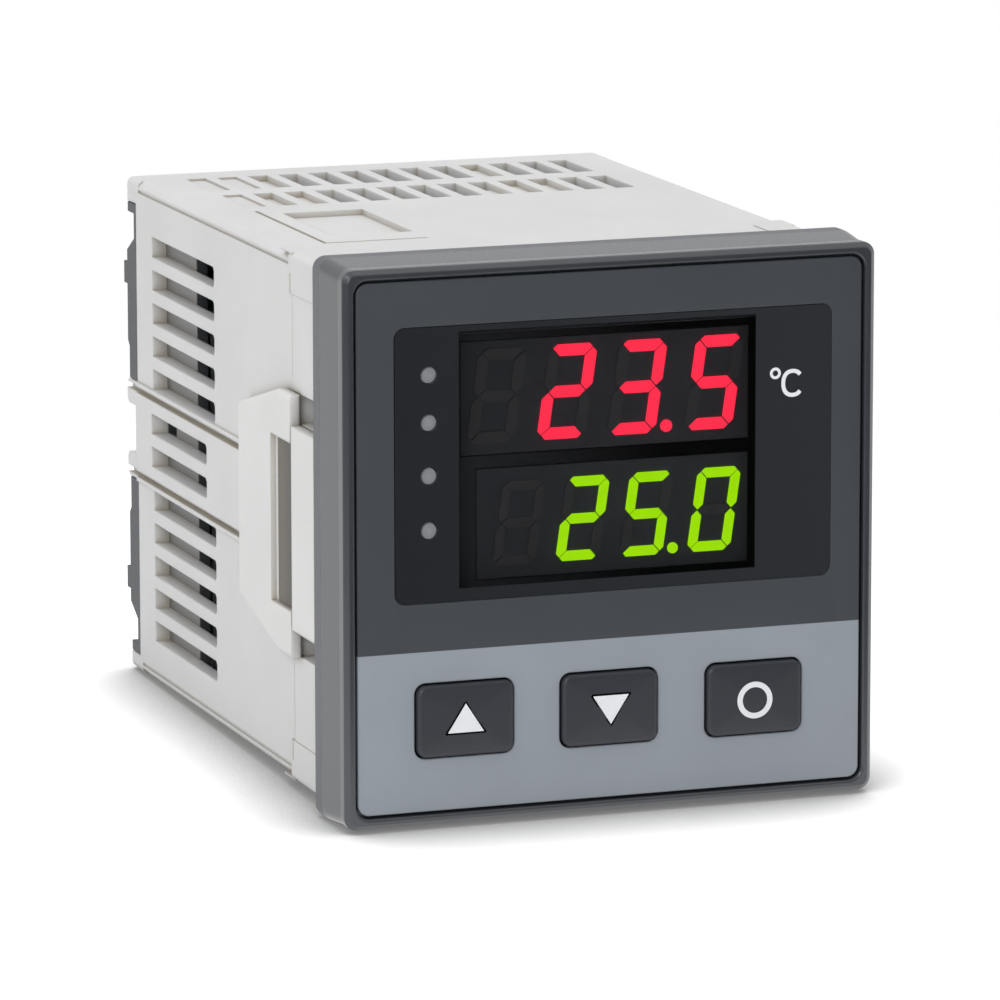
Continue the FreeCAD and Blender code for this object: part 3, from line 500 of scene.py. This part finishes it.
lit = {
    "red": {"name": "redGlow", "colour": (255, 45, 74), "strength": 2.5, "body": 0.2},
    "green": {"name": "greenGlow", "colour": (156, 224, 0), "strength": 2.3, "body": 0.2},
    # the indicator lamps are off: their glow is painted light on the lenses
    "lamp": {"name": "lampLensPaintedGlow", "colour": (205, 206, 212), "strength": 0.75, "body": 1.2},
}
litSkin = {"cloudScale": 900, "cloudDip": 0.94, "roughness": 0.4}


def glowFinish(look):
    # a lit diffuser: even glow with a faint cloudiness; on the indicator lamps, which are off, the glow is
    # painted light
    finish, tree, shader = newFinish(look["name"])
    cloudy = ramp(tree, noise(tree, objectPoint(tree), litSkin["cloudScale"]), 0, 1)
    light = np.array(linear(look["colour"]))
    tree.links.new(blend(tree, cloudy, light * litSkin["cloudDip"], light), shader.inputs["Emission Color"])
    shader.inputs["Emission Strength"].default_value = look["strength"]
    shader.inputs["Base Color"].default_value = (*(light * look["body"]), 1)
    shader.inputs["Roughness"].default_value = litSkin["roughness"]
    return finish


plated = {
    "screw": {"name": "zincScrew", "colour": (205, 204, 200), "roughness": 0.3},
    "nickel": {"name": "nickelClamp", "colour": (200, 196, 186), "roughness": 0.32, "drawn": (1, 1, 6)},
}
platedSkin = {"tarnish": 0.8, "tarnishScale": 400, "smoother": 0.06, "rougher": 0.08,
              "grainScale": 3000, "grainDepth": 0.15, "step": 0.00001}


def metalFinish(look):
    # plated metal with fine drawn lines and slight tarnish
    finish, tree, shader = newFinish(look["name"])
    point = objectPoint(tree, look.get("drawn"))
    tarnish = ramp(tree, noise(tree, point, platedSkin["tarnishScale"], 4), 0, 1)
    base = np.array(linear(look["colour"]))
    tree.links.new(blend(tree, tarnish, base * platedSkin["tarnish"], base), shader.inputs["Base Color"])
    shader.inputs["Metallic"].default_value = 1
    fine = noise(tree, point, platedSkin["grainScale"])
    smooth, rough = look["roughness"] - platedSkin["smoother"], look["roughness"] + platedSkin["rougher"]
    tree.links.new(ramp(tree, fine, smooth, rough), shader.inputs["Roughness"])
    grainBump(tree, shader, fine, platedSkin["grainDepth"], platedSkin["step"])
    return finish


boardLook = {"mask": (28, 92, 52), "maskDark": (22, 78, 44), "track": (52, 128, 74), "cellScale": 420,
             "trackWidth": 0.03, "roughness": 0.35}


def boardFinish(look):
    # green solder mask over copper tracks: a blocky pattern shows where the tracks run
    finish, tree, shader = newFinish("boardLaminate")
    cells = addNode(tree, "ShaderNodeTexBrick")
    cells.inputs["Scale"].default_value = look["cellScale"]
    cells.inputs["Mortar Size"].default_value = look["trackWidth"]
    for socket, key in (("Color1", "mask"), ("Color2", "maskDark"), ("Mortar", "track")):
        feed(tree, cells.inputs[socket], linear(look[key]))
    tree.links.new(objectPoint(tree), cells.inputs["Vector"])
    tree.links.new(cells.outputs["Color"], shader.inputs["Base Color"])
    shader.inputs["Roughness"].default_value = look["roughness"]
    return finish


made["plate"] = plateFinish(plateLook)
made["frameBlack"] = frameFinish(frameLook)
made["window"] = smokedFinish(windowLook)
made.update({key: glowFinish(look) for key, look in lit.items()})
made.update({key: metalFinish(look) for key, look in plated.items()})
made["board"] = boardFinish(boardLook)

nodeFinish = {
    "front_bezel": "bezel", "face_plate": "plate", "display_window": "window", "panel_gasket": "gasket",
    "display_frame": "frameBlack", "pv_display": "displayFace", "sv_display": "displayFace",
    "pv_lit_segments": "red", "pv_dark_segments": "unlit",
    "sv_lit_segments": "green", "sv_dark_segments": "unlit",
    "indicator_lamps": "lamp", "up_key": "key", "down_key": "key", "function_key": "key",
    "up_plunger": "plunger", "down_plunger": "plunger", "function_plunger": "plunger",
    "up_switch": "nickel", "down_switch": "nickel", "function_switch": "nickel",
    "housing": "case", "left_clip": "clip", "right_clip": "clip",
    "upper_terminal_block": "terminal", "lower_terminal_block": "terminal",
    "upper_terminal_clamps": "nickel", "lower_terminal_clamps": "nickel",
    "upper_terminal_screws": "screw", "lower_terminal_screws": "screw",
    "display_board": "board", "power_board": "board", "control_board": "board",
    "transformer_core": "ferrite", "transformer_coil": "tape", "filter_capacitor": "sleeve",
    "output_relay": "relay", "alarm_relay": "relay", "processor_chip": "resin",
}
for name, key in nodeFinish.items():
    piece = nodes[name]
    piece.data.materials.clear()
    piece.data.materials.append(made[key])
print("finishes on", len(nodeFinish), "nodes")


# the face plate, with openings for the window and the keys

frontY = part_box("face_plate")[0].y
plateSheet = {
    "edge": 0.12, "corner": 1.0, "windowGap": 0.03, "windowCorner": 0.93,
    "keyHalf": (4.43, 3.25), "keyCorner": 0.95,
    "keys": {"up_key": (-13.16, -14.83), "down_key": (-0.22, -14.85), "function_key": (12.89, -14.95)},
}        # a key's place is its middle: across, and up from the bezel's mid-height


def boxOutline(box, grow, radius):
    # the rounded outline of a box seen from the front, grown on every side
    low, high = box
    centre = ((low.x + high.x) / 2, (low.z + high.z) / 2)
    return roundedRectangle(centre, ((high.x - low.x) / 2 + grow, (high.z - low.z) / 2 + grow), radius)


def plateOutlines(look):
    # the plate's own outline, then the window's opening and one for each key
    outline = boxOutline(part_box("face_plate"), 0, look["corner"] * mm)
    holes = [boxOutline(windowBox, look["windowGap"] * mm, look["windowCorner"] * mm)]
    half = np.array(look["keyHalf"]) * mm
    holes += [roundedRectangle((x * mm, midZ + z * mm), half, look["keyCorner"] * mm)
              for x, z in look["keys"].values()]
    return outline, holes


outline, holes = plateOutlines(plateSheet)
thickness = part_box("face_plate")[1].y - frontY
sheet = cutSheet("facePanel", outline, holes, frontY, thickness, plateSheet["edge"] * mm)
dress(sheet, "case", "plate")
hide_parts("face_plate")
print("face plate made")


# the three keys

keyCap = {
    "gap": 0.16, "corner": 0.82, "edge": 0.38, "crown": 0.13, "thick": 0.95, "flange": 0.7,
    "flangeThick": 0.8, "stemGap": 0.05, "stemCorner": 0.6, "backShare": 0.98, "backEdge": 0.05,
    "edgeSteps": 7, "crownSteps": 12,
}


def makeKey(name, node, look, place):
    # outlines from the back of the flange, over the stem, round the edge and in over the crowned face;
    # edge: inset = e (1 - cos a), depth = front + drop + e (1 - sin a);
    # face: outline = middle + s * (edge's outline - middle), depth = front + drop * s * s
    low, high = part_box(node)
    flange = look["flange"] * mm
    cadCentre = ((low.x + high.x) / 2, (low.z + high.z) / 2)
    cadHalf = ((high.x - low.x) / 2 - flange, (high.z - low.z) / 2 - flange)
    centre = (place[0] * mm, midZ + place[1] * mm)
    half = [h * mm - look["gap"] * mm for h in plateSheet["keyHalf"]]
    spans = list(zip(cadCentre, cadHalf, centre, half))        # the stem fits where both outlines overlap
    stemLow = [max(c - h, k - g) + look["stemGap"] * mm for c, h, k, g in spans]
    stemHigh = [min(c + h, k + g) - look["stemGap"] * mm for c, h, k, g in spans]
    stemCentre = [(a + b) / 2 for a, b in zip(stemLow, stemHigh)]
    stemHalf = [(b - a) / 2 for a, b in zip(stemLow, stemHigh)]
    corner, edge, drop = (look[key] * mm for key in ("corner", "edge", "crown"))
    wide = roundedRectangle(cadCentre, (cadHalf[0] + flange, cadHalf[1] + flange), corner)
    stem = roundedRectangle(stemCentre, stemHalf, look["stemCorner"] * mm)
    skirt = roundedRectangle(centre, half, corner)
    back = low.y + look["thick"] * mm
    flangeFront = high.y - look["flangeThick"] * mm
    share = look["backShare"]
    narrow = wide * share + np.array(cadCentre) * (1 - share)
    rings = [narrow, wide, wide, stem, stem, skirt, skirt]
    depths = [high.y, high.y - look["backEdge"] * mm, flangeFront, flangeFront, back, back,
              low.y + drop + edge]
    for a in np.linspace(0, math.pi / 2, look["edgeSteps"])[1:]:
        inset = edge * (1 - math.cos(a))
        rings.append(roundedRectangle(centre, (half[0] - inset, half[1] - inset), corner - inset))
        depths.append(low.y + drop + edge * (1 - math.sin(a)))
    face = rings[-1]
    for s in np.linspace(1, 0, look["crownSteps"], endpoint=False)[1:]:
        rings.append(centre + (face - centre) * s)
        depths.append(low.y + drop * s * s)
    rings = np.stack(rings)
    spread = np.repeat(np.array(depths)[:, None], rings.shape[1], axis=1)
    piece = loftRings(name, [(rings, spread)], 50)
    dress(piece, node, "key")
    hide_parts(node)


for node, name in (("up_key", "upKeyCap"), ("down_key", "downKeyCap"), ("function_key", "functionKeyCap")):
    makeKey(name, node, keyCap, plateSheet["keys"][node])
print("keys made")


# signs on the front

printLook = {"rise": 0.015, "sink": 0.012}        # how far a print stands out of its face and sinks in


def printedShape(name, outline, faceY, body, hole=None):
    # a flat outline given thickness: a closed skin, or with a hole of as many points a closed band
    front, back = faceY - printLook["rise"] * mm, faceY + printLook["sink"] * mm
    rings = [outline] if hole is None else [outline, hole]
    count = len(outline)
    points = np.concatenate([np.column_stack([ring[:, 0], np.full(count, y), ring[:, 1]])
                             for ring in rings for y in (front, back)])
    i = np.arange(count)
    j = (i + 1) % count
    faces = np.stack([i, j, j + count, i + count], axis=1).tolist()
    if hole is None:
        faces += [i[::-1].tolist(), (i + count).tolist()]
    else:
        faces += np.stack([i + 2 * count, i + 3 * count, j + 3 * count, j + 2 * count], axis=1).tolist()
        faces += np.stack([i, i + 2 * count, j + 2 * count, j], axis=1).tolist()
        faces += np.stack([i + count, j + count, j + 3 * count, i + 3 * count], axis=1).tolist()
    return dress(meshPiece(name, points, faces), body, "whitePrint")


def roundedTriangle(tip, base, half, radius, perCorner=8):
    # each corner is an arc whose centre stands radius / sin(half the corner's angle) inside the corner
    corners = np.array([[0, tip], [-half, base], [half, base]], float)
    out = []
    for k in range(3):
        here, before, after = corners[k], corners[k - 1], corners[(k + 1) % 3]
        a = (before - here) / np.linalg.norm(before - here)
        b = (after - here) / np.linalg.norm(after - here)
        inward = (a + b) / np.linalg.norm(a + b)
        halfAngle = math.acos(np.dot(a, b)) / 2
        centre = here + inward * radius / math.sin(halfAngle)
        middle = math.atan2(-inward[1], -inward[0])
        turn = (math.pi / 2 - halfAngle) * math.copysign(1, a[0] * b[1] - a[1] * b[0])
        t = middle + turn * np.linspace(-1, 1, perCorner)
        out.append(np.stack([centre[0] + radius * np.cos(t), centre[1] + radius * np.sin(t)], axis=1))
    return np.concatenate(out)


signs = {
    "upX": -13.25, "upTip": -13.14, "upBase": -16.03, "triangleHalf": 1.90,
    "downX": -0.26, "downTip": -16.40, "downBase": -13.50,
    "ringX": 12.82, "ringZ": -15.05, "ringOuter": 1.60, "ringInner": 1.12, "corner": 0.10,
}
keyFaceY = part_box("up_key")[0].y
up = roundedTriangle(signs["upTip"], signs["upBase"], signs["triangleHalf"], signs["corner"])
down = roundedTriangle(signs["downTip"], signs["downBase"], signs["triangleHalf"], signs["corner"])
printedShape("upArrow", up * mm + np.array([signs["upX"] * mm, midZ]), keyFaceY, "up_key")
printedShape("downArrow", down * mm + np.array([signs["downX"] * mm, midZ]), keyFaceY, "down_key")
ringCentre = (signs["ringX"] * mm, midZ + signs["ringZ"] * mm)
printedShape("functionRing", circle(ringCentre, signs["ringOuter"] * mm), keyFaceY, "function_key",
             circle(ringCentre, signs["ringInner"] * mm))

unit = {
    "ringX": 14.75, "ringZ": 12.96, "ringOuter": 0.50, "ringInner": 0.25,
    "letterX": 16.32, "letterZ": 12.05, "halfX": 1.02, "halfZ": 1.20, "stroke": 0.34, "square": 2.3,
    "open": 40, "letterSteps": 56, "ringSteps": 40,
}
degreeCentre = (unit["ringX"] * mm, midZ + unit["ringZ"] * mm)
degreeOuter, degreeInner = (circle(degreeCentre, unit[key] * mm, unit["ringSteps"])
                            for key in ("ringOuter", "ringInner"))
printedShape("degreeRing", degreeOuter, windowBox[0].y, "case", degreeInner)


def openLetter(look):
    # an open squared ellipse: x = a |cos t|^(2/n), z = b |sin t|^(2/n) with their signs,
    # the outer arc one way and the inner arc back, from the opening angle round to its mirror
    t = np.radians(np.linspace(look["open"], 360 - look["open"], look["letterSteps"]))
    bend = 2 / look["square"]
    x = np.sign(np.cos(t)) * np.abs(np.cos(t)) ** bend
    z = np.sign(np.sin(t)) * np.abs(np.sin(t)) ** bend
    outer = np.stack([look["halfX"] * x, look["halfZ"] * z], axis=1)
    inner = np.stack([(look["halfX"] - look["stroke"]) * x, (look["halfZ"] - look["stroke"]) * z], axis=1)
    shape = np.concatenate([outer, inner[::-1]]) * mm
    return shape + np.array([look["letterX"] * mm, midZ + look["letterZ"] * mm])


printedShape("celsiusLetter", openLetter(unit), windowBox[0].y, "case")
print("signs made")


# terminal screws with a cross recess, and the terminals' numbers on the rear wall

crossScrew = {
    "count": 6, "dome": 0.35, "edge": 0.25, "recess": 0.75, "armHalf": 0.28, "armReach": 1.25, "wall": 0.12,
    "shank": 1.5, "shankTip": 0.3, "headHeight": 1.7, "turn": (12, -31, 48, 5, -64, 27),
    "around": 72, "edgeSteps": 6, "steps": 30,
}


def softStep(value, width):
    # 0 below 0, 1 above width, a smooth cubic between
    t = np.clip(value / width, 0, 1)
    return t * t * (3 - 2 * t)


def makeScrews(name, node, look):
    # a polar grid on each head: depth = top - dome * (r / rim)^2 - recess * cross, where
    # cross is the larger of two bars, each a soft step inside |u| < half and |v| < reach,
    # and only on the crowned face
    low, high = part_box(node)
    radius = (high.z - low.z) / 2
    z = (high.z + low.z) / 2
    dome, edge, recess, wall = (look[key] * mm for key in ("dome", "edge", "recess", "wall"))
    reach, half, shank, tip = (look[key] * mm for key in ("armReach", "armHalf", "shank", "shankTip"))
    angle = np.linspace(0, 2 * math.pi, look["around"], endpoint=False)
    rim = radius - edge
    seat = high.y - look["headHeight"] * mm
    radii = [shank - tip, shank, shank, radius, radius]
    depths = [low.y, low.y + tip, seat, seat, high.y - dome - edge]
    for a in np.linspace(0, math.pi / 2, look["edgeSteps"])[1:]:
        radii.append(rim + edge * math.cos(a))
        depths.append(high.y - dome - edge * (1 - math.sin(a)))
    for r in np.linspace(rim, 0, look["steps"], endpoint=False)[1:]:
        radii.append(r)
        depths.append(high.y - dome * (r / rim) ** 2)
    radii, depths = np.array(radii), np.array(depths)
    u = radii[:, None] * np.cos(angle)
    v = radii[:, None] * np.sin(angle)
    barU = softStep(half - np.abs(u), wall) * softStep(reach - np.abs(v), wall * 2)
    barV = softStep(half - np.abs(v), wall) * softStep(reach - np.abs(u), wall * 2)
    crowned = depths > high.y - dome * 1.01
    cross = np.maximum(barU, barV) * crowned[:, None]
    screws = []
    for x, turn in zip(np.linspace(low.x + radius, high.x - radius, look["count"]), look["turn"]):
        spin = math.radians(turn)
        rings = np.stack([x + u * math.cos(spin) - v * math.sin(spin),
                          z + u * math.sin(spin) + v * math.cos(spin)], axis=-1)
        screws.append((rings, depths[:, None] - recess * cross))
    piece = loftRings(name, screws)
    dress(piece, "case", "screw")
    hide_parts(node)


makeScrews("upperScrews", "upper_terminal_screws", crossScrew)
makeScrews("lowerScrews", "lower_terminal_screws", crossScrew)

lampDome = {"radius": 0.72, "dome": 0.45, "backShare": 0.98, "backEdge": 0.05, "around": 40, "steps": 10,
            "drops": (0, 4.05, 8.60, 13.25)}        # drops are from the top lamp down


def makeLamps(look):
    # one small light guide for each lamp with a domed end: depth = front + dome * s^2 where r = s * radius
    low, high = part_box("indicator_lamps")
    x = (low.x + high.x) / 2
    radius, dome = look["radius"] * mm, look["dome"] * mm
    heights = high.z - radius - np.array(look["drops"]) * mm
    s = np.linspace(1, 0, look["steps"], endpoint=False)
    radii = np.concatenate([[radius * look["backShare"], radius], radius * s])
    depths = np.concatenate([[high.y, high.y - look["backEdge"] * mm], low.y + dome * s ** 2])
    spread = np.repeat(depths[:, None], look["around"], axis=1)
    unitCircle = circle((0, 0), 1, look["around"])
    lofts = [(radii[:, None, None] * unitCircle + np.array([x, z]), spread) for z in heights]
    piece = loftRings("domedLamps", lofts, 60)
    dress(piece, "case", "lamp")
    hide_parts("indicator_lamps")


makeLamps(lampDome)

numbers = {"size": 1.75, "rowZ": (0.67, -1.26), "wallSetback": 3.2, "first": 1, "half": 0.012, "proud": 0.005}


def makeNumbers(look):
    # numbers for the screws above and below, printed on the rear wall between the two blocks
    low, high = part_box("upper_terminal_screws")
    radius = (high.z - low.z) / 2
    places = np.linspace(high.x - radius, low.x + radius, crossScrew["count"])
    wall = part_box("housing")[1].y - look["wallSetback"] * mm
    for row, height in enumerate(look["rowZ"]):
        for k, x in enumerate(places):
            number = look["first"] + row * len(places) + k
            name = f"terminalNumber{number}"
            text = bpy.data.curves.new(name, "FONT")
            text.body = str(number)
            text.size = look["size"] * mm
            text.align_x, text.align_y = "CENTER", "CENTER"
            text.extrude = look["half"] * mm
            piece = flatToMesh(name, text, (x, wall + look["proud"] * mm, midZ + height * mm), True)
            dress(piece, "case", "greyPrint")


makeNumbers(numbers)
print("terminals dressed")


# studio

# the last four settings paint a shadow on the floor around the controller
studio = {
    "ambient": 0.86, "backdrop": 1.0, "frontDark": 0.03, "frontFrom": -0.75, "frontTo": -0.15,
    "floorGlow": 0.50, "floorAlbedo": 0.80, "fadeFrom": 0.075, "fadeTo": 0.16,
    "shineFrom": -0.095, "shineTo": -0.045, "floorReach": 3.0, "floorGap": 0.00002,
    "contact": 0.013, "contactDark": 0.30, "contactFrom": 0.42, "contactTo": 0.88,
}
lamps = {
    "keyLamp": {"place": (-0.9, -0.7, 0.9), "size": 0.7, "power": 1.65},
    "topLamp": {"place": (0.1, 0.3, 1.2), "size": 0.8, "power": 3.7},
    "frontLamp": {"place": (-0.20, -0.27, 0.13), "size": 0.14, "power": 0.26},
}


def makeWorld(look):
    # even light all round; what is seen past the object is white, and a shiny surface sees it white too,
    # except towards the front of the room, where it is dark
    world = bpy.data.worlds.new("softStudio")
    bpy.context.scene.world = world
    world.use_nodes = True
    tree = world.node_tree
    tree.nodes.clear()
    out = addNode(tree, "ShaderNodeOutputWorld")
    even, white, room = (addNode(tree, "ShaderNodeBackground") for _ in range(3))
    even.inputs["Strength"].default_value = look["ambient"]
    white.inputs["Strength"].default_value = look["backdrop"]
    forward = splitPoint(tree, addNode(tree, "ShaderNodeTexCoord").outputs["Generated"])["Y"]
    bright = ramp(tree, forward, look["frontDark"], look["backdrop"], look["frontFrom"], look["frontTo"])
    tree.links.new(bright, room.inputs["Strength"])
    path = addNode(tree, "ShaderNodeLightPath")
    past = mathNode(tree, "MAXIMUM", path.outputs["Is Camera Ray"], path.outputs["Is Transmission Ray"])
    shiny = mixShaders(tree, path.outputs["Is Glossy Ray"], even.outputs[0], room.outputs[0])
    seen = mixShaders(tree, past, shiny, white.outputs[0])
    tree.links.new(seen, out.inputs["Surface"])


def makeFloor(look):
    # the controller leans back a little: its seal's lower edge stands on the floor, which rises
    # in a straight line to just under the case's rear: z = seal's foot + slope * (y - seal's front) - gap
    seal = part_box("panel_gasket")
    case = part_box("housing")
    slope = (case[0].z - seal[0].z) / (case[1].y - seal[1].y)
    reach = look["floorReach"]
    xs = np.array([-reach, reach, reach, -reach])
    ys = np.array([-reach, -reach, reach, reach])
    zs = seal[0].z + slope * (ys - seal[0].y) - look["floorGap"]
    floor = meshPiece("studioFloor", np.stack([xs, ys, zs], axis=1), [[0, 1, 2, 3]])
    finish, tree, shader = newFinish("paleFloor")
    tree.nodes.remove(shader)
    out = tree.nodes["Material Output"]
    # painted shadow: the floor is darkened and its glow dimmed close to the controller
    clear = ramp(tree, openness(tree, look["contact"]), look["contactDark"], 1,
                 look["contactFrom"], look["contactTo"])
    diffuse = addNode(tree, "ShaderNodeBsdfDiffuse")
    tree.links.new(blend(tree, clear, (0, 0, 0), (look["floorAlbedo"],) * 3), diffuse.inputs["Color"])
    path = addNode(tree, "ShaderNodeLightPath").outputs
    glow = addNode(tree, "ShaderNodeEmission")
    lift = product(tree, path["Is Camera Ray"], look["floorGlow"], clear)
    tree.links.new(lift, glow.inputs["Strength"])
    both = addNode(tree, "ShaderNodeAddShader")
    tree.links.new(diffuse.outputs[0], both.inputs[0])
    tree.links.new(glow.outputs[0], both.inputs[1])
    point = objectPoint(tree)
    length = addNode(tree, "ShaderNodeVectorMath", operation="LENGTH")
    tree.links.new(point, length.inputs[0])
    far = ramp(tree, length.outputs["Value"], 0, 1, look["fadeFrom"], look["fadeTo"])
    farSeen = product(tree, far, path["Is Camera Ray"])
    shine = mathNode(tree, "MAXIMUM", path["Is Glossy Ray"], path["Is Transmission Ray"])
    near = ramp(tree, splitPoint(tree, point)["Y"], look["frontDark"], 1, look["shineFrom"], look["shineTo"])
    white = addNode(tree, "ShaderNodeEmission")
    tree.links.new(mathNode(tree, "MAXIMUM", near, path["Is Camera Ray"]), white.inputs["Strength"])
    surface = mixShaders(tree, mathNode(tree, "MAXIMUM", farSeen, shine), both.outputs[0], white.outputs[0])
    tree.links.new(surface, out.inputs["Surface"])
    floor.data.materials.append(finish)


def softLamp(name, look):
    data = bpy.data.lights.new(name, "AREA")
    data.shape = "DISK"
    data.size = look["size"]
    data.energy = look["power"]
    lamp = addObject(name, data)
    lamp.location = look["place"]
    aim = Vector((0, 0, midZ)) - Vector(look["place"])
    lamp.rotation_mode = "QUATERNION"
    lamp.rotation_quaternion = aim.to_track_quat("-Z", "Y")


camera = {"yaw": 19.56, "pitch": 10.80, "roll": -0.07, "target": (-10.07, -33.175, 27.71),
          "distance": 600.2, "lens": 258.30, "sensor": 36, "clip": (0.01, 50)}


def makeCamera(look):
    # looks along yaw and pitch at a point: yaw turns from +Y towards +X, pitch is below the horizon
    yaw, pitch, roll = (math.radians(look[key]) for key in ("yaw", "pitch", "roll"))
    level = math.cos(pitch)
    ahead = Vector((math.sin(yaw) * level, math.cos(yaw) * level, -math.sin(pitch)))
    right = Vector((math.cos(yaw), -math.sin(yaw), 0))
    upward = right.cross(ahead)
    rolledRight = right * math.cos(roll) + upward * math.sin(roll)
    rolledUp = upward * math.cos(roll) - right * math.sin(roll)
    data = bpy.data.cameras.new("productCamera")
    data.sensor_width = look["sensor"]
    data.lens = look["lens"]
    data.clip_start, data.clip_end = look["clip"]
    view = addObject("productCamera", data)
    turn = Matrix((rolledRight, rolledUp, -ahead)).transposed()
    place = Vector(look["target"]) * mm - ahead * look["distance"] * mm
    view.matrix_world = Matrix.Translation(place) @ turn.to_4x4()
    bpy.context.scene.camera = view


makeWorld(studio)
makeFloor(studio)
for name, look in lamps.items():
    softLamp(name, look)
makeCamera(camera)
bpy.context.scene.view_settings.view_transform = "Standard"
print("studio ready")
